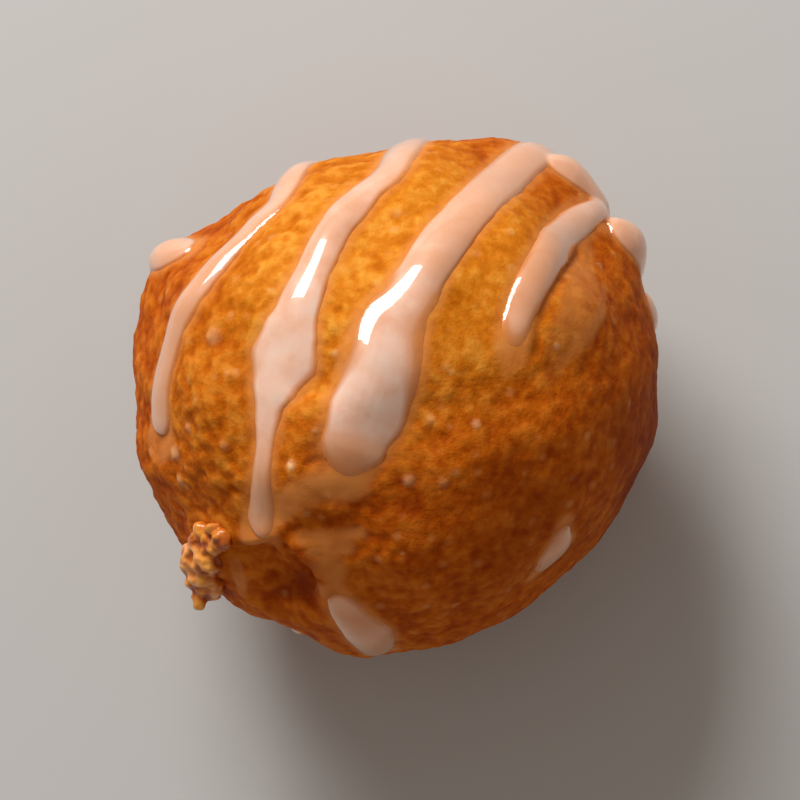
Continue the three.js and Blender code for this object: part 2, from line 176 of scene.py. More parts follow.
def crustRadius(directions):  # from the ball's middle to the crust, in mm
    x, y, z = directions.T
    radius = ball["radius"] / np.sqrt(x**2 + y**2 + (z / ball["flatness"]) ** 2)
    for swell in swells:
        radius += swell["rise"] * np.exp(-((arc(directions, towards(swell["at"])) / swell["spread"]) ** 2))
    for fold in folds:
        radius += foldRelief(directions, fold)
    for heading, phase in waves:
        radius += waveShape["height"] * np.sin(directions @ heading + phase)
    return radius


def onCrust(directions, height):  # points that stand a height above the crust, in mm
    points = directions * (crustRadius(directions) + height)[:, None]
    points[:, 2] += ball["centreHeight"]
    return points


def fromMiddle(points):  # each point's direction from the ball's middle, and its distance
    away = points - [0, 0, ball["centreHeight"]]
    distance = np.linalg.norm(away, axis=1)
    return away / distance[:, None], distance


# Meshes

def readPoints(mesh):
    points = np.empty(len(mesh.vertices) * 3)
    mesh.vertices.foreach_get("co", points)
    return points.reshape(-1, 3)


def writePoints(mesh, points):
    mesh.vertices.foreach_set("co", np.ascontiguousarray(points, float).ravel())
    mesh.update()


def addAttribute(mesh, name, values):
    layer = mesh.attributes.new(name, "FLOAT", "POINT")
    layer.data.foreach_set("value", np.ascontiguousarray(values, np.float32))


def meshFrom(bm, name):
    mesh = bpy.data.meshes.new(name)
    bm.to_mesh(mesh)
    bm.free()
    return mesh


def showMesh(mesh, name, smooth=True):
    if smooth:
        mesh.shade_smooth()
    piece = bpy.data.objects.new(name, mesh)
    bpy.context.scene.collection.objects.link(piece)
    return piece


def joinMeshes(meshes, name):
    bm = bmesh.new()
    for mesh in meshes:
        bm.from_mesh(mesh)
        bpy.data.meshes.remove(mesh)
    return meshFrom(bm, name)


def modified(mesh, kind, **settings):  # the mesh as one modifier leaves it
    holder = bpy.data.objects.new("work", mesh)
    bpy.context.scene.collection.objects.link(holder)
    modifier = holder.modifiers.new(kind.lower(), kind)
    for key, value in settings.items():
        setattr(modifier, key, value)
    depsgraph = bpy.context.evaluated_depsgraph_get()
    made = bpy.data.meshes.new_from_object(holder.evaluated_get(depsgraph))
    bpy.data.objects.remove(holder)
    bpy.data.meshes.remove(mesh)
    return made


def smoothMesh(mesh, rounds):
    bm = bmesh.new()
    bm.from_mesh(mesh)
    for _ in range(rounds):
        bmesh.ops.smooth_vert(bm, verts=bm.verts, factor=0.5,
                              use_axis_x=True, use_axis_y=True, use_axis_z=True)
    bm.to_mesh(mesh)
    bm.free()


# Each pattern reads the noise at a place of its own
noiseSeeds = {
    "craggySide": 1, "lumps": 2, "grains": 5, "fineGrains": 4,
    "icingEdge": 3, "filmPatches": 6, "filmEdge": 8,
    "golden": 9, "paintedShadeEdge": 10, "paintedShadeShape": 14,
    "crags": 11, "pits": 12, "glazeEdge": 13,
}
seedSpacing = [7.1, 3.7, 5.3]


def noiseAt(points, size, pattern):  # Perlin noise, one lump to about `size` mm
    shift = Vector([noiseSeeds[pattern] * spacing for spacing in seedSpacing])
    return np.array([noise.noise(Vector(p) / size + shift) for p in points])


def step(edge0, edge1, values):  # from 0 at one edge to 1 at the other, eased
    t = np.clip((values - edge0) / (edge1 - edge0), 0, 1)
    return t * t * (3 - 2 * t)


def nearness(place, gap):  # 1 as far as a place reaches, then down to 0 over its fade
    return 1 - step(place["reach"], place["reach"] + place["fade"], gap)


# Icing, from the same stripes, runs and drops as the solid

icing = {
    "edgeSink": 0.1,  # how far a section's edge dips into the crust
    "rootSink": 0.9,  # how far its underside lies in the dough
    "leastRoot": 0.3,  # share of that depth that a run's ends keep
    "rootWidth": 0.55,  # width of the underside as a share of the section's
    "rootCurve": 4,  # how late a section draws in to that width
    "roundness": 1.6,  # below 1 makes a section full, above 1 soft at its edges
    "marks": 60,  # points a leg that a run's length is taken from
    "headingReach": 0.05,
    "sides": 28,  # points round a section
    "stepLength": 0.35,
    "fewestSteps": 8,
    "dropSteps": 16,
    "voxel": 0.136,
    "smoothing": 3,
    "wobbleSize": 2.2,  # the icing's edge wavers over this length
    "wobble": 0.09,
    "dropWobble": 0.3,
    "plainMilk": 0.5,
    "milkySpots": [  # the icing is whitest here, and clearer further out
        {"at": [-3.5, 0.0], "reach": 5.0, "fade": 12.0, "share": 0.8},
    ],
    "clearSpots": [  # and it is thinned with syrup here
        {"at": [-3.8, -5.2], "reach": 1.2, "fade": 3.2, "share": 1.0},
        {"at": [-9.3, -7.8], "reach": 3.0, "fade": 4.0, "share": 0.75},
        {"at": [-2.6, -15.5], "reach": 3.0, "fade": 3.0, "share": 0.85},
        {"at": [10.5, -10.4], "reach": 3.0, "fade": 2.0, "share": 0.7},
        {"at": [-13.6, 5.5], "reach": 4.0, "fade": 5.0, "share": 0.35},
        {"at": [6.5, 13.5], "reach": 3.0, "fade": 5.0, "share": 0.35},
        {"at": [9.0, 8.5], "reach": 3.0, "fade": 3.0, "share": 0.5},
    ],
    "haloInside": 0.2,  # a wet rim of thin icing, from inside every stripe's and drop's edge
    "haloOutside": 0.6,
    "haloCover": 0.75,
}

# Each point is a place on the face, then the icing's width and height there
stripes = [
    # Thin stripe by the left edge
    [[-3.7, 13.9, -8.0, 2.6, 0.55], [-4.2, 14.6, -6.4, 2.0, 0.42], [-4.8, 15.1, -4.4, 1.9, 0.45],
     [-5.4, 15.5, -2.0, 2.5, 0.85], [-6.6, 14.9, 2.0, 2.6, 0.6], [-8.1, 13.5, None, 2.5, 0.3],
     [-10.0, 11.6, None, 2.6, 0.34], [-11.8, 9.2, None, 2.6, 0.7], [-13.1, 6.9, None, 2.5, 0.48],
     [-14.3, 4.7, None, 2.5, 0.44], [-15.4, 1.7, None, 2.8, 0.42], [-15.8, -2.4, None, 3.0, 0.42]],
    # Stripe with a bulge, left of the middle
    [[3.6, 12.9, -10.8, 3.2, 0.6], [3.0, 13.9, -9.2, 2.8, 0.5], [2.4, 15.2, -6.6, 2.2, 0.34],
     [1.4, 16.3, -3, 2.7, 0.36], [-0.4, 15.5, None, 3.0, 0.3], [-2.3, 14.0, None, 2.8, 0.4],
     [-4.3, 11.6, None, 2.8, 0.54], [-5.7, 8.6, None, 2.8, 0.42], [-6.7, 6.0, None, 3.3, 0.48],
     [-7.3, 4.4, None, 4.5, 0.5], [-7.8, 2.8, None, 5.4, 0.44], [-8.4, 0.9, None, 3.9, 0.36],
     [-8.8, -0.9, None, 2.5, 0.3], [-8.95, -3.4, None, 1.9, 0.27], [-9.1, -5.4, None, 2.1, 0.26],
     [-9.2, -7.2, None, 2.6, 0.26], [-9.4, -9.0, None, 2.7, 0.22]],
    # Widest stripe, down the middle
    [[10.4, 11.0, -9.2, 3.4, 0.65], [10.4, 12.1, -7.6, 3.0, 0.55], [10.2, 13.3, -5.6, 2.4, 0.38],
     [9.6, 14.4, -3, 2.7, 0.4], [8.0, 14.9, None, 2.9, 0.34], [6.3, 14.1, None, 3.2, 0.4],
     [4.4, 12.3, None, 3.4, 0.58], [3.0, 10.7, None, 3.5, 0.66], [1.6, 8.6, None, 3.7, 0.52],
     [0.7, 7.0, None, 4.0, 0.26], [-0.5, 4.9, None, 5.0, 0.2], [-1.2, 2.1, None, 5.9, 0.28],
     [-2.1, -0.6, None, 5.8, 0.52], [-3.0, -2.9, None, 4.7, 0.48], [-3.6, -5.2, None, 3.0, 0.04]],
    # Short stripe by the right edge
    [[13.0, 12.3, None, 1.5, 0.34], [11.3, 11.4, None, 2.6, 0.38], [9.9, 9.8, None, 2.8, 0.5],
     [8.6, 7.7, None, 2.6, 0.42], [7.7, 5.4, None, 2.3, 0.26], [7.4, 3.2, None, 2.0, 0.04]],
    # Runs by the rim: three at the upper right, one on the ear, one at the lower right, one at the foot
    [[9.4, 15.6, 2, 2.0, 0.5], [11.2, 14.9, 0.8, 2.9, 1.0], [12.8, 13.2, -0.5, 2.7, 0.8],
     [13.1, 12.6, -3, 2.2, 0.5]],
    [[14.0, 12.1, 2, 2.0, 0.7], [15.3, 10.7, 0.8, 2.9, 1.15], [15.9, 9.2, -1.5, 2.6, 0.8],
     [15.4, 8.4, -4.5, 1.9, 0.42], [14.5, 7.9, -7, 1.8, 0.42], [13.4, 7.6, -9, 2.6, 0.6]],
    [[16.2, 7.0, 1.5, 1.6, 0.3], [16.8, 5.7, 0, 2.4, 0.6], [16.8, 4.6, -2.4, 1.8, 0.4]],
    [[-14.4, 10.6, 3, 1.8, 0.3], [-15.2, 9.7, 0.5, 3.0, 0.75], [-15.3, 8.6, -2.6, 2.0, 0.4]],
    [[11.1, -8.4, None, 1.3, 0.24], [10.8, -10.3, None, 3.0, 0.5], [9.8, -12.3, None, 1.6, 0.3]],
    [[-4.4, -12.7, None, 1.7, 0.2], [-3.3, -14.1, None, 2.8, 0.44], [-2.0, -15.4, None, 3.3, 0.54],
     [-1.3, -16.3, 3.2, 2.3, 0.45]],
]

drops = [
    {"at": [-6.8, -15.2, -1], "width": 1.7, "height": 0.5},
    {"at": [-14.2, 7.2, -6.0], "width": 1.7, "height": 0.4},
    {"at": [8.9, 10.2, -10.9], "width": 1.9, "height": 0.4},
]


def smoothly(t, values):  # values at the points of a path, eased between them
    leg = np.minimum(t.astype(int), len(values) - 2)
    return np.interp(leg + step(0, 1, t - leg), np.arange(len(values)), values)


def endRounding(distance, width):
    share = np.clip(distance / (0.5 * width), 0, 1)
    return np.sqrt(1 - (1 - share) ** 2)


def sectionLift(top, height, dome, depth=1):  # over the crust on top, and into the dough below
    raised = (height + icing["edgeSink"]) * dome
    sunk = (icing["rootSink"] - icing["edgeSink"]) * dome * depth
    return np.where(top, raised, -sunk) - icing["edgeSink"]


def lobeMesh(name, rings):  # a closed ball of even rings that a run of icing is shaped from
    bm = bmesh.new()
    bmesh.ops.create_uvsphere(bm, u_segments=icing["sides"], v_segments=rings, radius=1)
    return meshFrom(bm, name)


def makeRun(points):  # one stripe or run of icing, wrapped along its path on the crust
    directions = np.array([towards(point[:3]) for point in points])
    widths, heights = np.array([point[3:] for point in points]).T
    t = np.linspace(0, len(points) - 1, icing["marks"] * len(points))
    curve = along(directions, t)
    gaps = arcOf(np.sum(curve[1:] * curve[:-1], axis=1))
    distance = np.concatenate([[0], np.cumsum(gaps)])
    length = distance[-1]
    mesh = lobeMesh("icingRun", max(icing["fewestSteps"], int(length / icing["stepLength"])))
    corners = readPoints(mesh)
    station = length * np.arccos(np.clip(corners[:, 2], -1, 1)) / math.pi
    turn = np.arctan2(corners[:, 1], corners[:, 0])
    here = np.interp(station, distance, t)
    direction = along(directions, here)
    ahead = along(directions, np.minimum(here + icing["headingReach"], len(points) - 1))
    behind = along(directions, np.maximum(here - icing["headingReach"], 0))
    side = unit(np.cross(unit(ahead - behind), direction))
    width = smoothly(here, widths)
    rounding = endRounding(station, widths[0]) * endRounding(length - station, widths[-1])
    height = smoothly(here, heights) * rounding
    wobble = 1 + icing["wobble"] * noiseAt(direction * ball["radius"], icing["wobbleSize"], "icingEdge")
    halfWidth = 0.5 * width * rounding * wobble
    top = np.sin(turn) >= 0
    rootWidth = icing["rootWidth"] + (1 - icing["rootWidth"]) * np.cos(turn) ** icing["rootCurve"]
    across = halfWidth * np.cos(turn) * np.where(top, 1, rootWidth)
    dome = np.abs(np.sin(turn)) ** icing["roundness"]
    lift = sectionLift(top, height, dome, np.maximum(rounding, icing["leastRoot"]))
    turned = unit(direction + side * (across / ball["radius"])[:, None])
    writePoints(mesh, onCrust(turned, lift) * mm)
    return mesh


def makeDrop(drop):
    mesh = lobeMesh("icingDrop", icing["dropSteps"])
    corners = readPoints(mesh)
    middle = towards(drop["at"])
    sideways = unit(np.cross(middle, faceOut))
    onwards = np.cross(middle, sideways)
    reach = 0.5 * drop["width"] / ball["radius"]
    flat = corners[:, :1] * sideways + corners[:, 1:2] * onwards
    places = (middle + reach * flat) * ball["radius"]
    wobble = 1 + icing["dropWobble"] * noiseAt(places, icing["wobbleSize"], "icingEdge")
    direction = unit(middle + reach * wobble[:, None] * flat)
    dome = np.abs(corners[:, 2]) ** icing["roundness"]
    lift = sectionLift(corners[:, 2] >= 0, drop["height"], dome)
    writePoints(mesh, onCrust(direction, lift) * mm)
    return mesh


def outwardNormals(mesh):
    bm = bmesh.new()
    bm.from_mesh(mesh)
    bmesh.ops.recalc_face_normals(bm, faces=bm.faces)
    bm.to_mesh(mesh)
    bm.free()


def makeIcing():
    parts = [makeRun(points) for points in stripes] + [makeDrop(drop) for drop in drops]
    for part in parts:
        outwardNormals(part)
    mesh = joinMeshes(parts, "icingDrizzle")
    mesh = modified(mesh, "REMESH", mode="VOXEL", voxel_size=icing["voxel"] * mm)
    smoothMesh(mesh, icing["smoothing"])
    directions, radius = fromMiddle(readPoints(mesh) / mm)
    milkiness = np.full(len(directions), icing["plainMilk"])
    for spot in icing["milkySpots"]:
        near = nearness(spot, arc(directions, towards(spot["at"])))
        milkiness = np.maximum(milkiness, spot["share"] * near)
    for spot in icing["clearSpots"]:
        near = nearness(spot, arc(directions, towards(spot["at"])))
        milkiness *= 1 - spot["share"] * near
    addAttribute(mesh, "thickness", radius - crustRadius(directions))
    # browning with painted light on the crown and painted shade away from it, for the crust under thin icing
    addAttribute(mesh, "browningAndShade", browningAndShadeAt(directions))
    addAttribute(mesh, "milkiness", milkiness)
    return showMesh(mesh, "icingDrizzle")


# Dough

crust = {
    "startCuts": 6,  # an icosphere of 20480 faces
    "lastCuts": 2,  # each face becomes nine
    "lumpSize": 1.4,
    "lumpHeight": 0.16,
    "grainSize": 0.7,  # the fried surface is covered in small grains
    "grainHeight": 0.13,
    "fineSize": 0.42,
    "fineHeight": 0.05,
    "smoothest": 0.6,  # share of that relief on the smooth side
    "smoothPlaceShare": 0.5,  # and of what is left of it in the smoothest places
    "craggyFrom": -3.0,  # the craggy side begins here, counted towards the lower left
    "craggyTo": 6.0,
    "craggySlant": 0.35,
    "craggyWander": 2.5,
    "craggyWanderSize": 5,
    "goldenWander": 4,  # the golden places' edges wander by this many mm
    "goldenWanderSize": 7,
    "goldenAndLitPlaces": [  # the crust is lightest here and browner further out, partly as real browning and partly as painted light on the lit crown and painted shade away from it
        {"at": [-1.5, 10.0], "reach": 4.0, "fade": 14.0, "least": 0.0},
        {"at": [-11.5, -0.5], "reach": 3.5, "fade": 7.0, "least": 0.6},
        {"at": [4.8, 3.4], "reach": 1.5, "fade": 5.0, "least": 0.25},
        {"at": [-13.5, -5.0], "reach": 1.5, "fade": 4.0, "least": 0.7},
    ],
    "beadHeight": 0.3,  # height of a bead for each mm of its radius
    "smallBeads": 26,
    "smallBeadRadius": [0.12, 0.22],
    "smallBeadGlaze": 0.3,
    "beadGlazeFade": [0.3, 1.2],  # shares of its radius between which a bead's glaze ends
    "beadSeed": 5,
    "creaseShade": 0.6,  # how much of a crease's depth is painted into the crust's colour as shade
}

# Beads of glaze and pale grains on the crust that show singly: a place, a radius and a share of glaze
beads = [
    {"at": [-6.95, -4.15], "radius": 0.36, "glaze": 0.9},
    {"at": [-14.9, -3.5], "radius": 0.6, "glaze": 0.5},
    {"at": [-14.5, -5.3], "radius": 0.5, "glaze": 0.4},
    {"at": [0.6, -5.4], "radius": 0.5, "glaze": 0.35},
    {"at": [2.9, -5.5], "radius": 0.45, "glaze": 0.2},
    {"at": [2.1, -1.3], "radius": 0.4, "glaze": 0.25},
    {"at": [5.1, -1.6], "radius": 0.36, "glaze": 0.45},
    {"at": [-4.3, 3.1], "radius": 0.3, "glaze": 0.4},
    {"at": [10.2, 3.5], "radius": 0.3, "glaze": 0.45},
    {"at": [-12.2, 4.2], "radius": 0.7, "glaze": 0.3},
    {"at": [-13.9, -1.9], "radius": 0.4, "glaze": 0.3},
    {"at": [-11.5, -3.0], "radius": 0.4, "glaze": 0.2},
]

# Places where the crust is calmest, and where it is roughest
smoothPlaces = [
    {"at": [4.8, 3.4], "reach": 5.0},
    {"at": [1.2, -7.2], "reach": 5.0},
]
craggyPlaces = [
    {"at": [1.8, -2.2], "reach": 3.4},
    {"at": [-5.9, -1.6], "reach": 3.5},
    {"at": [-12.4, -1.0], "reach": 6.0},
]

# Thin icing that has run off the stripes. Each point is a place, then the film's width and its cover
films = [
    [[-8.4, -7.4, None, 1.9, 0.9], [-7.2, -6.5, None, 2.3, 0.95], [-6.0, -5.9, None, 2.5, 0.95],
     [-4.6, -5.4, None, 3.0, 1.0], [-3.3, -5.2, None, 3.0, 1.0]],
    [[-3.2, -2.2, None, 4.4, 1.0], [-3.8, -4.2, None, 4.2, 1.0], [-3.5, -5.4, None, 3.4, 1.0]],
    [[-6.5, -9.1, None, 1.3, 0.7], [-4.5, -9.2, None, 1.9, 0.85], [-2.7, -9.0, None, 1.3, 0.7]],
    [[-5.6, -9.9, None, 1.5, 0.75], [-3.6, -9.8, None, 1.7, 0.8]],
    [[-4.7, -10.6, None, 2.4, 0.75], [-4.3, -12.6, None, 1.5, 0.7]],
    [[12.4, 10.0, None, 1.6, 0.5], [12.0, 8.2, None, 3.4, 0.55], [11.2, 5.8, None, 3.0, 0.55],
     [10.2, 3.6, None, 2.0, 0.35], [9.6, 2.2, None, 1.4, 0.0]],
    [[13.4, 7.4, None, 1.0, 0.3], [12.6, 5.4, None, 1.5, 0.7], [11.2, 3.4, None, 1.5, 0.7],
     [10.0, 1.6, None, 1.2, 0.1]],
    [[7.6, 5.4, None, 2.2, 0.9], [7.3, 3.2, None, 1.9, 0.9], [7.3, 1.0, None, 1.4, 0.0]],
    [[-8.0, -0.4, None, 1.4, 0.5], [-7.9, -2.4, None, 1.0, 0.5], [-8.1, -4.4, None, 0.8, 0.3]],
    [[-10.8, -10.6, None, 0.6, 0.5], [-10.5, -11.8, None, 1.0, 0.85], [-10.2, -12.6, None, 0.8, 0.5]],
    [[4.4, 14.2, -7, 4.5, 0.4], [3.4, 13.4, -9.5, 4.0, 0.4]],
]

filmShape = {
    "fullTo": 0.2,  # a film covers fully to this share of its width, and ends at the next
    "endsAt": 0.6,
    "edgeWander": 0.35,  # its edge wanders by this many mm
    "edgeWanderSize": 1.6,
    "patchSize": 1.3,
    "patchBias": 0.2,
    "patchiness": 0.5,
    "fills": 0.85,  # share of the crust's relief that it fills
}

# Painted shade: darker crust about the hollow, by the torn nub, along the right edge and towards the lower
# right
paintedShadePlaces = [
    {"at": [15.6, -3.5, 2], "reach": 13.0, "share": 0.75},
    {"at": [9.0, -9.0], "reach": 8.0, "share": 0.3},
    {"at": [1.5, -7.0], "reach": 4.5, "share": 0.2},
    {"at": [-6.9, -12.7], "reach": 2.2, "share": 0.5},
    {"at": [-12.0, -12.3, 2], "reach": 2.0, "share": 0.3},
]

paintedShadeShape = {
    "edgeWander": 0.8,  # the painted shade's edge wanders by this many mm
    "edgeWanderSize": 1.8,
    "wander": 0.45,  # and over longer stretches by this share of its reach
    "wanderSize": 5,
}

# Sharp creases in the crust: a path, its depth and its half width. Their depth is also painted into the crust
# as shade
creases = [
    {"path": [[11.9, 9.9], [10.3, 8.0], [9.2, 5.6], [8.9, 3.2]], "depth": 0.22, "width": 0.36},
    {"path": [[-6.2, -11.2], [-5.9, -12.3], [-6.6, -13.1], [-8.4, -13.2]], "depth": 0.3, "width": 0.6},
    {"path": [[1.1, 4.6], [0.9, 2.4], [0.2, -0.2], [-0.9, -2.2]], "depth": 0.1, "width": 0.45},
]

pathSamples = 12  # samples of a path for each of its points


def nearPath(directions, points):  # distance to a path and the place along it
    t = np.linspace(0, len(points) - 1, pathSamples * len(points))
    path = along(np.array([towards(point[:3]) for point in points]), t)
    closeness = directions @ path.T
    nearest = np.argmax(closeness, axis=1)
    return arcOf(closeness[np.arange(len(directions)), nearest]), t[nearest]


def haloCover(directions):  # thin icing under every stripe, fading out past its edge
    edge = np.full(len(directions), np.inf)
    for points in stripes:
        gap, t = nearPath(directions, points)
        edge = np.minimum(edge, gap - 0.5 * smoothly(t, [point[3] for point in points]))
    for drop in drops:
        edge = np.minimum(edge, arc(directions, towards(drop["at"])) - 0.5 * drop["width"])
    return icing["haloCover"] * (1 - step(-icing["haloInside"], icing["haloOutside"], edge))


def filmCover(directions):
    cover = haloCover(directions)
    places = directions * ball["radius"]
    ragged = filmShape["edgeWander"] * noiseAt(places, filmShape["edgeWanderSize"], "filmEdge")
    for points in films:
        gap, t = nearPath(directions, points)
        width = smoothly(t, [point[3] for point in points])
        here = smoothly(t, [point[4] for point in points])
        edge = step(filmShape["fullTo"] * width, filmShape["endsAt"] * width, gap + ragged)
        cover = np.maximum(cover, here * (1 - edge))
    patches = np.clip(noiseAt(places, filmShape["patchSize"], "filmPatches") + filmShape["patchBias"], 0, 1)
    return cover * (1 - filmShape["patchiness"] * patches)


def browningAndShadeAt(directions):  # 0 on the golden crown, 1 where the crust is brownest; partly real browning, partly painted light on the lit crown and painted shade away from it
    browningAndShade = np.ones(len(directions))
    places = directions * ball["radius"]
    ragged = crust["goldenWander"] * noiseAt(places, crust["goldenWanderSize"], "golden")
    for place in crust["goldenAndLitPlaces"]:
        gap = arc(directions, towards(place["at"])) + ragged
        here = step(place["reach"], place["reach"] + place["fade"], gap)
        browningAndShade = np.minimum(browningAndShade, place["least"] + (1 - place["least"]) * here)
    return browningAndShade


# Painted shade: how dark the crust is painted in the hollow, by the nub, along the right edge and towards the
# lower right
def paintedShadeAt(directions):
    paintedShade = np.zeros(len(directions))
    places = directions * ball["radius"]
    ragged = paintedShadeShape["edgeWander"] * noiseAt(places, paintedShadeShape["edgeWanderSize"], "paintedShadeEdge")
    broad = paintedShadeShape["wander"] * noiseAt(places, paintedShadeShape["wanderSize"], "paintedShadeShape")
    for place in paintedShadePlaces:
        gap = arc(directions, towards(place["at"])) + ragged + broad * place["reach"]
        paintedShade = np.maximum(paintedShade, place["share"] * (1 - step(0, place["reach"], gap)))
    return paintedShade


def allBeads():  # the named beads and small ones scattered by a seeded rule
    draw = np.random.default_rng(crust["beadSeed"])
    scattered = unit(draw.normal(size=(crust["smallBeads"], 3)))
    radii = draw.uniform(*crust["smallBeadRadius"], size=crust["smallBeads"])
    found = [(towards(bead["at"]), bead["radius"], bead["glaze"]) for bead in beads]
    return found + [(middle, radius, crust["smallBeadGlaze"]) for middle, radius in zip(scattered, radii)]


def craggyAt(directions):  # share of the crust's relief that shows at each place
    places = directions * ball["radius"]
    right, up = places @ faceRight, places @ faceUp
    side = (-right - crust["craggySlant"] * up
            + crust["craggyWander"] * noiseAt(places, crust["craggyWanderSize"], "craggySide"))
    rough = step(crust["craggyFrom"], crust["craggyTo"], side)
    for place in craggyPlaces:
        rough = np.maximum(rough, 1 - step(0, place["reach"], arc(directions, towards(place["at"]))))
    craggy = crust["smoothest"] + (1 - crust["smoothest"]) * rough
    least = crust["smoothPlaceShare"]
    for place in smoothPlaces:
        craggy *= least + (1 - least) * step(0, place["reach"], arc(directions, towards(place["at"])))
    return craggy


def makeDough():
    bm = bmesh.new()
    bmesh.ops.create_icosphere(bm, subdivisions=crust["startCuts"], radius=1)
    bmesh.ops.subdivide_edges(bm, edges=bm.edges, cuts=crust["lastCuts"], use_grid_fill=True)
    mesh = meshFrom(bm, "friedDough")
    directions = unit(readPoints(mesh))
    places = directions * ball["radius"]
    cover = filmCover(directions)
    lumps = crust["lumpHeight"] * noiseAt(places, crust["lumpSize"], "lumps")
    grains = crust["grainHeight"] * noiseAt(places, crust["grainSize"], "grains")
    fine = crust["fineHeight"] * noiseAt(places, crust["fineSize"], "fineGrains")
    relief = (lumps + grains + fine) * craggyAt(directions) * (1 - filmShape["fills"] * cover)
    cut = np.zeros(len(directions))
    for crease in creases:
        gap, _ = nearPath(directions, crease["path"])
        cut += crease["depth"] * np.exp(-((gap / crease["width"]) ** 2))
    dome, glaze = np.zeros(len(directions)), np.zeros(len(directions))
    for middle, radius, amount in allBeads():
        share = arc(directions, middle) / radius
        dome = np.maximum(dome, crust["beadHeight"] * radius * np.clip(1 - share**2, 0, 1))
        glaze = np.maximum(glaze, amount * (1 - step(*crust["beadGlazeFade"], share)))
    points = onCrust(directions, relief - cut + dome)
    points[:, 2] = np.maximum(points[:, 2], 0)
    writePoints(mesh, points * mm)
    # the relief, with the creases cut deeper, sets painted shade in hollows and creases and painted light on
    # lumps
    addAttribute(mesh, "relief", relief - crust["creaseShade"] * cut)
    addAttribute(mesh, "film", cover)
    addAttribute(mesh, "bead", glaze)
    # painted shade in the hollow, by the nub and towards the lower right
    addAttribute(mesh, "paintedShade", paintedShadeAt(directions))
    # browning with painted light on the crown and painted shade away from it
    addAttribute(mesh, "browningAndShade", browningAndShadeAt(directions))
    return showMesh(mesh, "friedDough")


# Torn nub: crumbs that stand out of the crust where two pieces were pulled apart

torn = {
    "cuts": 4,  # a crumb starts as an icosphere of 1280 faces
    "roughness": 0.08,
    "lumps": 5,  # higher packs a crumb's lumps closer
    "variety": 9,  # sets neighbouring crumbs' lumps apart
    "growth": 1.2,  # the crumbs swell into one another by this
    "voxel": 0.1,
    "smoothing": 8,
    "cragSize": 0.8,
    "cragHeight": 0.3,
    "pitSize": 0.42,
    "pitHeight": 0.12,
    "glazedAt": [-13.2, -9.8, 5.5],  # thin glaze lies here and leaves the tip bare
    "glazedLift": 0.5,
    "glazedReach": [0.4, 2.2],
    "glazedWander": 1.2,
    "glazedWanderSize": 1.2,
    "rootFade": [0.2, 1.0],  # the crumbs take the crust's brown below this height above it
}

crumbs = [
    {"at": [-11.35, -8.95, 8.5], "radius": 0.6, "lift": 0.3},
    {"at": [-12.1, -8.35, 8.1], "radius": 0.45, "lift": 0.25},
    {"at": [-12.85, -8.45, 7.3], "radius": 0.42, "lift": 0.35},
    {"at": [-12.25, -9.4, 7.4], "radius": 0.75, "lift": 0.1},
    {"at": [-13.1, -9.2, 6.3], "radius": 0.65, "lift": 0.2},
    {"at": [-12.4, -10.3, 6.2], "radius": 1.0, "lift": -0.1},
    {"at": [-13.3, -10.1, 5.2], "radius": 0.85, "lift": 0.2},
    {"at": [-12.7, -11.2, 5], "radius": 1.0, "lift": 0.1},
    {"at": [-13.5, -11, 4.2], "radius": 0.8, "lift": 0.3},
    {"at": [-12.2, -11.8, 4.2], "radius": 0.85, "lift": 0.1},
    {"at": [-13, -12, 4], "radius": 0.85, "lift": 0.55},
    {"at": [-12.8, -10.9, 3], "radius": 0.8, "lift": -0.2},
    {"at": [-12.4, -12.5, 3.6], "radius": 0.5, "lift": 0.6},
    {"at": [-12.9, -12.8, 3.8], "radius": 0.5, "lift": 1.35},
    {"at": [-12.85, -13.3, 3.8], "radius": 0.32, "lift": 1.75},
]


def makeCrumb(crumb):
    bm = bmesh.new()
    bmesh.ops.create_icosphere(bm, subdivisions=torn["cuts"], radius=1)
    mesh = meshFrom(bm, "crumb")
    corners = readPoints(mesh)
    at = crumb["at"]
    middle = onCrust(towards(at)[None], crumb["lift"])[0]
    bump = (np.sin(torn["lumps"] * corners[:, 0] + torn["variety"] * at[0])
            * np.sin(torn["lumps"] * corners[:, 1] + torn["variety"] * at[1]))
    radius = torn["growth"] * crumb["radius"] * (1 + torn["roughness"] * bump)
    writePoints(mesh, (middle + corners * radius[:, None]) * mm)
    return mesh


def makeTornNub():
    mesh = joinMeshes([makeCrumb(crumb) for crumb in crumbs], "tornCrumbs")
    mesh = modified(mesh, "REMESH", mode="VOXEL", voxel_size=torn["voxel"] * mm)
    smoothMesh(mesh, torn["smoothing"])
    points = readPoints(mesh) / mm
    normals = np.empty(points.size)
    mesh.vertices.foreach_get("normal", normals)
    crags = torn["cragHeight"] * noiseAt(points, torn["cragSize"], "crags")
    pits = torn["pitHeight"] * noiseAt(points, torn["pitSize"], "pits")
    writePoints(mesh, (points + normals.reshape(-1, 3) * (crags + pits)[:, None]) * mm)
    glazedAt = onCrust(towards(torn["glazedAt"])[None], torn["glazedLift"])[0]
    ragged = torn["glazedWander"] * noiseAt(points, torn["glazedWanderSize"], "glazeEdge")
    away = np.linalg.norm(points - glazedAt, axis=1) + ragged
    directions, radius = fromMiddle(points)
    # the relief later paints shade into the pits and light onto the crags
    addAttribute(mesh, "relief", crags + pits)
    addAttribute(mesh, "glaze", 1 - step(*torn["glazedReach"], away))
    addAttribute(mesh, "root", 1 - step(*torn["rootFade"], radius - crustRadius(directions)))
    return showMesh(mesh, "tornCrumbs")


# Materials

def linear(hexColour):  # an sRGB colour as the linear values that a shader takes
    channels = [int(hexColour[i:i + 2], 16) / 255 for i in (1, 3, 5)]
    return [c / 12.92 if c <= 0.04045 else ((c + 0.055) / 1.055) ** 2.4 for c in channels] + [1.0]


def newMaterial(name):
    material = bpy.data.materials.new(name)
    material.use_nodes = True
    material.node_tree.nodes.clear()
    return material, material.node_tree


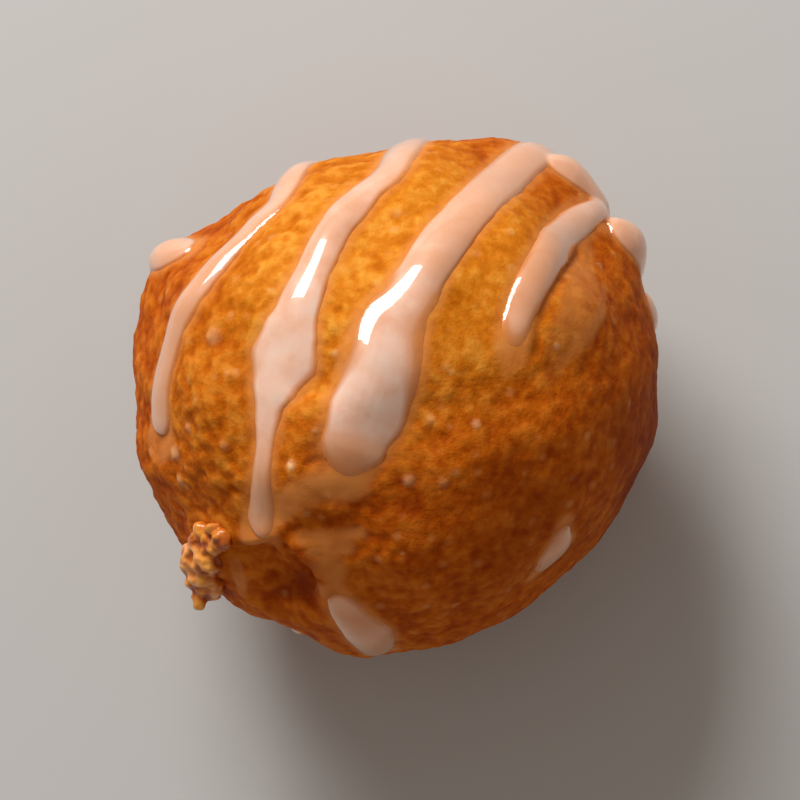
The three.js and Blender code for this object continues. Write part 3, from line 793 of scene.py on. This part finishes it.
def addNode(tree, kind, values=None, links=None, stops=(), **settings):  # stops are a ramp's, in order
    node = tree.nodes.new("ShaderNode" + kind)
    for key, value in settings.items():
        setattr(node, key, value)
    for key, value in (values or {}).items():
        node.inputs[key].default_value = value
    for key, socket in (links or {}).items():
        tree.links.new(socket, node.inputs[key])
    for place, _ in stops[1:-1]:
        node.color_ramp.elements.new(place)
    for i, (place, colour) in enumerate(stops):
        stop = node.color_ramp.elements[i]
        stop.position, stop.color = place, linear(colour)
    return node


def inMillimetres(tree):
    place = addNode(tree, "TexCoord").outputs["Object"]
    return addNode(tree, "Mapping", {"Scale": (1 / mm,) * 3}, {"Vector": place}).outputs["Vector"]


thinIcing = "#e08c46"  # icing so thin that the fried crust shows through

crustLook = {
    "golden": [(0.25, "#c46806"), (0.5, "#da8019"), (0.75, "#e89c36")],  # from hollows to lumps: painted shade in the hollows, painted light on the lumps
    "brown": [(0.25, "#a24003"), (0.5, "#be5806"), (0.75, "#d27018")],
    # The first cover paints shade into the crust in dark red-brown
    "covers": {"paintedShade": "#712204", "film": thinIcing, "bead": "#f4c08c"},
    "speck": "#e8a868",
    "patchSize": 2.6,  # soft patches and finer mottling, mm from one to the next
    "mottleSize": 0.85,
    "patchShare": 0.35,
    "mottleRange": [0.31, 0.69],
    "mottleShare": 0.6,  # the rest of the shade follows the relief, as painted shade in the hollows and painted light on the lumps
    "reliefRange": [-0.13, 0.12],
    "fineSize": 0.28,  # the finest grain, in bump alone
    "fineHeight": 0.1,
    "fineStrength": [0.7, 0.1],  # on bare crust, and under thin icing
    "roughness": [0.65, 0.35],
    "speckSpacing": 1.3,
    "speckReach": [0.32, 0.12],  # distances at which a pale grain begins and is full
    "speckChoice": [0.45, 1.0],  # below the first of these a grain is left out
    "speckStrength": 0.5,
}


def crustPattern(tree, inMm):  # soft mottling of the crust, from 0, dark, to 1, light
    look = crustLook
    patches = addNode(tree, "TexNoise", {"Scale": 1 / look["patchSize"], "Detail": 2.0}, {"Vector": inMm})
    mottle = addNode(tree, "TexNoise", {"Scale": 1 / look["mottleSize"], "Detail": 3.0, "Roughness": 0.6},
                     {"Vector": inMm})
    both = addNode(tree, "Mix", {"Factor": look["patchShare"]},
                   {"A": mottle.outputs["Fac"], "B": patches.outputs["Fac"]})
    low, high = look["mottleRange"]
    return addNode(tree, "MapRange", {"From Min": low, "From Max": high},
                   {"Value": both.outputs["Result"]}).outputs["Result"]


def crustColour(tree, shade):  # golden where the dough browned least and painted light falls, red-brown where it browned most and painted shade falls
    browningAndShade = addNode(tree, "Attribute", attribute_name="browningAndShade").outputs["Fac"]
    golden = addNode(tree, "ValToRGB", links={"Fac": shade}, stops=crustLook["golden"]).outputs["Color"]
    brown = addNode(tree, "ValToRGB", links={"Fac": shade}, stops=crustLook["brown"]).outputs["Color"]
    return addNode(tree, "Mix", links={"Factor": browningAndShade, "A": golden, "B": brown},
                   data_type="RGBA").outputs[2]


def friedDoughMaterial():  # sweet dough fried in oil: a dry, grainy crust, golden where it browned least and where painted light falls on the crown
    look = crustLook
    material, tree = newMaterial("friedDoughCrust")
    inMm = inMillimetres(tree)
    # the relief paints shade into the hollows and creases and light onto the lumps
    relief = addNode(tree, "Attribute", attribute_name="relief").outputs["Fac"]
    low, high = look["reliefRange"]
    height = addNode(tree, "MapRange", {"From Min": low, "From Max": high}, {"Value": relief})
    shade = addNode(tree, "Mix", {"Factor": look["mottleShare"]},
                    {"A": height.outputs["Result"], "B": crustPattern(tree, inMm)}).outputs["Result"]

    specks = addNode(tree, "TexVoronoi", {"Scale": 1 / look["speckSpacing"]}, {"Vector": inMm})
    outer, inner = look["speckReach"]
    spot = addNode(tree, "MapRange", {"From Min": outer, "From Max": inner},
                   {"Value": specks.outputs["Distance"]}).outputs["Result"]
    least, most = look["speckChoice"]
    chosen = addNode(tree, "MapRange", {"From Min": least, "From Max": most, "To Max": look["speckStrength"]},
                     {"Value": specks.outputs["Color"]}).outputs["Result"]
    speck = addNode(tree, "Math", links={0: spot, 1: chosen}, operation="MULTIPLY").outputs["Value"]
    colour = addNode(tree, "Mix", {"B": linear(look["speck"])},
                     {"Factor": speck, "A": crustColour(tree, shade)}, data_type="RGBA").outputs[2]

    covers = {}
    for name, tone in look["covers"].items():  # painted shade, then thin icing, then beads of glaze
        covers[name] = addNode(tree, "Attribute", attribute_name=name).outputs["Fac"]
        colour = addNode(tree, "Mix", {"B": linear(tone)}, {"Factor": covers[name], "A": colour},
                         data_type="RGBA").outputs[2]

    dry, wet = look["roughness"]
    rough = addNode(tree, "MapRange", {"To Min": dry, "To Max": wet}, {"Value": covers["film"]})
    bare, iced = look["fineStrength"]
    strength = addNode(tree, "MapRange", {"To Min": bare, "To Max": iced}, {"Value": covers["film"]})
    fine = addNode(tree, "TexNoise", {"Scale": 1 / look["fineSize"], "Detail": 3.0, "Roughness": 0.6},
                   {"Vector": inMm})
    bump = addNode(tree, "Bump", {"Distance": look["fineHeight"] * mm},
                   {"Height": fine.outputs["Fac"], "Strength": strength.outputs["Result"]})
    shader = addNode(tree, "BsdfPrincipled",
                     {"IOR": 1.4, "Specular IOR Level": 0.07, "Subsurface Weight": 0.12,
                      "Subsurface Radius": (1.6 * mm, 0.6 * mm, 0.2 * mm)},
                     {"Base Color": colour, "Roughness": rough.outputs["Result"],
                      "Normal": bump.outputs["Normal"]})
    addNode(tree, "OutputMaterial", links={"Surface": shader.outputs["BSDF"]})
    return material


crumbLook = {
    "bare": [(0.25, "#ac4c06"), (0.5, "#e0821a"), (0.75, "#f4a23c")],
    "glazed": [(0.25, "#c46818"), (0.5, "#ec9644"), (0.75, "#fcb878")],
    "root": [(0.25, "#9a3c04"), (0.5, "#be5806"), (0.75, "#d27018")],
    "mottleSize": 0.7,
    "mottleShare": 0.3,
    "reliefRange": [-0.15, 0.15],
    "fineSize": 0.25,
    "fineHeight": 0.08,
    "fineStrength": 0.6,
}


def tornCrumbMaterial():  # crumb soaked in thin glaze: amber and wet, painted nearly black-brown in its pits as shade and lighter on its crags as painted light
    look = crumbLook
    material, tree = newMaterial("glazedCrumb")
    inMm = inMillimetres(tree)
    mottle = addNode(tree, "TexNoise", {"Scale": 1 / look["mottleSize"], "Detail": 4.0}, {"Vector": inMm})
    # the relief sets painted shade in the pits and painted light on the crags
    relief = addNode(tree, "Attribute", attribute_name="relief").outputs["Fac"]
    low, high = look["reliefRange"]
    height = addNode(tree, "MapRange", {"From Min": low, "From Max": high}, {"Value": relief})
    shade = addNode(tree, "Mix", {"Factor": look["mottleShare"]},
                    {"A": height.outputs["Result"], "B": mottle.outputs["Fac"]}).outputs["Result"]
    bare, glazed, brown = (addNode(tree, "ValToRGB", links={"Fac": shade}, stops=look[name]).outputs["Color"]
                           for name in ("bare", "glazed", "root"))
    glaze = addNode(tree, "Attribute", attribute_name="glaze").outputs["Fac"]
    root = addNode(tree, "Attribute", attribute_name="root").outputs["Fac"]
    crumb = addNode(tree, "Mix", links={"Factor": glaze, "A": bare, "B": glazed}, data_type="RGBA").outputs[2]
    colour = addNode(tree, "Mix", links={"Factor": root, "A": crumb, "B": brown}, data_type="RGBA").outputs[2]
    fine = addNode(tree, "TexNoise", {"Scale": 1 / look["fineSize"], "Detail": 2.0}, {"Vector": inMm})
    bump = addNode(tree, "Bump", {"Strength": look["fineStrength"], "Distance": look["fineHeight"] * mm},
                   {"Height": fine.outputs["Fac"]})
    shader = addNode(tree, "BsdfPrincipled",
                     {"Roughness": 0.4, "IOR": 1.45, "Specular IOR Level": 0.4, "Subsurface Weight": 0.15,
                      "Subsurface Radius": (1.2 * mm, 0.5 * mm, 0.2 * mm),
                      "Coat Weight": 0.4, "Coat Roughness": 0.12},
                     {"Base Color": colour, "Normal": bump.outputs["Normal"]})
    addNode(tree, "OutputMaterial", links={"Surface": shader.outputs["BSDF"]})
    return material


icingLook = {
    "milk": [(0.0, thinIcing), (0.3, "#e29a66"), (0.62, "#eeb28e"), (0.8, "#fccdb4"), (1.0, "#ffdecb")],
    "tintShare": 0.7,  # how much thin icing tints the crust below it
    "fullThickness": 0.24,  # mm at which the icing is as milky as it gets
    "leastMilk": 0.34,
    "hidesAt": 0.45,  # and how milky it is where the crust no longer shows
    "streakSize": 1.6,
    "streakRange": [0.3, 0.7],
    "streakMilk": [0.82, 1.05],
    "dimpleSize": 0.9,
    "dimpleHeight": 0.05,
    "dimpleStrength": 0.15,
}


def sugarIcingMaterial():  # set sugar icing: milky where it is thick, amber where the crust shows through
    look = icingLook
    material, tree = newMaterial("sugarIcing")
    inMm = inMillimetres(tree)
    thickness = addNode(tree, "Attribute", attribute_name="thickness").outputs["Fac"]
    milkiness = addNode(tree, "Attribute", attribute_name="milkiness").outputs["Fac"]
    share = addNode(tree, "MapRange", {"From Max": look["fullThickness"]}, {"Value": thickness},
                    interpolation_type="SMOOTHSTEP").outputs["Result"]
    cloud = addNode(tree, "MapRange", {"To Min": look["leastMilk"]}, {"Value": milkiness}).outputs["Result"]
    streaks = addNode(tree, "TexNoise", {"Scale": 1 / look["streakSize"], "Detail": 3.0}, {"Vector": inMm})
    low, high = look["streakRange"]
    least, most = look["streakMilk"]
    uneven = addNode(tree, "MapRange", {"From Min": low, "From Max": high, "To Min": least, "To Max": most},
                     {"Value": streaks.outputs["Fac"]}).outputs["Result"]
    clouded = addNode(tree, "Math", links={0: share, 1: cloud}, operation="MULTIPLY").outputs["Value"]
    density = addNode(tree, "Math", links={0: clouded, 1: uneven}, operation="MULTIPLY").outputs["Value"]
    under = addNode(tree, "Mix", {"Factor": look["tintShare"], "B": linear(thinIcing)},
                    {"A": crustColour(tree, crustPattern(tree, inMm))}, data_type="RGBA").outputs[2]
    milk = addNode(tree, "ValToRGB", links={"Fac": density}, stops=look["milk"]).outputs["Color"]
    hide = addNode(tree, "MapRange", {"From Max": look["hidesAt"]}, {"Value": density}).outputs["Result"]
    colour = addNode(tree, "Mix", links={"Factor": hide, "A": under, "B": milk}, data_type="RGBA").outputs[2]
    dimple = addNode(tree, "TexNoise", {"Scale": 1 / look["dimpleSize"], "Detail": 2.0}, {"Vector": inMm})
    bump = addNode(tree, "Bump", {"Strength": look["dimpleStrength"], "Distance": look["dimpleHeight"] * mm},
                   {"Height": dimple.outputs["Fac"]})
    shader = addNode(tree, "BsdfPrincipled",
                     {"Roughness": 0.3, "IOR": 1.48, "Specular IOR Level": 0.35, "Subsurface Weight": 0.4,
                      "Subsurface Radius": (1.2 * mm, 0.7 * mm, 0.4 * mm),
                      "Coat Weight": 1.0, "Coat Roughness": 0.04, "Coat IOR": 1.6},
                     {"Base Color": colour, "Normal": bump.outputs["Normal"]})
    addNode(tree, "OutputMaterial", links={"Surface": shader.outputs["BSDF"]})
    return material


# Studio

studio = {
    "lens": 200.0,
    "sensor": 36.0,
    "pictureWidth": 53.0,  # what the picture takes in at the ball
    "sightFrom": 1.0,  # distances that the camera sees between
    "sightTo": 5000.0,
    "elevation": 80.0,
    "azimuth": 33.0,
    "floorSize": 2000.0,
    "floorColour": "#c2c1be",
    "floorRoughness": 0.8,
    "skyColour": "#fff3e7",
    "skyStrength": 0.3,
    "keyFrom": [-0.35, 0.8, 0.5],  # right, up and out of the iced face
    "keyAlong": [0.46, 0.61, -0.65],  # its long side, in line with the stripes
    "keyDistance": 400.0,
    "keyWidth": 180.0,
    "keyLength": 200.0,
    "keyPower": 1.65,
}


def makeFloor():
    bm = bmesh.new()
    bmesh.ops.create_grid(bm, x_segments=1, y_segments=1, size=0.5 * studio["floorSize"] * mm)
    floor = showMesh(meshFrom(bm, "floor"), "floor", smooth=False)
    material, tree = newMaterial("paleFloor")
    shader = addNode(tree, "BsdfPrincipled", {"Base Color": linear(studio["floorColour"]),
                                              "Roughness": studio["floorRoughness"]})
    addNode(tree, "OutputMaterial", links={"Surface": shader.outputs["BSDF"]})
    floor.data.materials.append(material)


def makeCamera():
    data = bpy.data.cameras.new("camera")
    data.lens, data.sensor_width = studio["lens"], studio["sensor"]
    data.clip_start, data.clip_end = studio["sightFrom"] * mm, studio["sightTo"] * mm
    camera = bpy.data.objects.new("camera", data)
    bpy.context.scene.collection.objects.link(camera)
    bearing, rise = math.radians(studio["azimuth"]), math.radians(studio["elevation"])
    back = Vector((math.sin(bearing) * math.cos(rise), -math.cos(bearing) * math.cos(rise), math.sin(rise)))
    right = Vector((0, 1, 0)).cross(back).normalized()
    turn = Matrix((right, back.cross(right), back)).transposed()
    distance = studio["pictureWidth"] * studio["lens"] / studio["sensor"] * mm
    centre = Vector((0, 0, ball["centreHeight"] * mm))
    camera.matrix_world = Matrix.LocRotScale(centre + back * distance, turn.to_quaternion(), None)
    bpy.context.scene.camera = camera


def faceVector(values):  # a vector given along the iced face's right, up and out
    right, up, out = values
    return Vector(unit(right * faceRight + up * faceUp + out * faceOut))


def makeKeyLight():
    data = bpy.data.lights.new("keyLight", "AREA")
    data.shape, data.energy = "RECTANGLE", studio["keyPower"]
    data.size, data.size_y = studio["keyWidth"] * mm, studio["keyLength"] * mm
    lamp = bpy.data.objects.new("keyLight", data)
    bpy.context.scene.collection.objects.link(lamp)
    back = faceVector(studio["keyFrom"])
    sideways = faceVector(studio["keyAlong"]).cross(back).normalized()
    turn = Matrix((sideways, back.cross(sideways), back)).transposed()
    place = Vector((0, 0, ball["centreHeight"] * mm)) + back * studio["keyDistance"] * mm
    lamp.matrix_world = Matrix.LocRotScale(place, turn.to_quaternion(), None)


def makeSky():
    world = bpy.data.worlds.new("softRoom")
    world.use_nodes = True
    background = world.node_tree.nodes["Background"]
    background.inputs["Color"].default_value = linear(studio["skyColour"])
    background.inputs["Strength"].default_value = studio["skyStrength"]
    bpy.context.scene.world = world


makeCamera()
makeKeyLight()
makeSky()
makeFloor()
bpy.context.scene.view_settings.view_transform = "Standard"
print("studio: done")

dough = makeDough()
dough.data.materials.append(friedDoughMaterial())
print("dough:", len(dough.data.polygons), "faces")

nub = makeTornNub()
nub.data.materials.append(tornCrumbMaterial())
print("torn crumbs:", len(nub.data.polygons), "faces")

drizzle = makeIcing()
drizzle.data.materials.append(sugarIcingMaterial())
print("icing:", len(drizzle.data.polygons), "faces")

for piece in (dough, nub, drizzle):
    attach(piece, "root")
    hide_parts(holeNode)
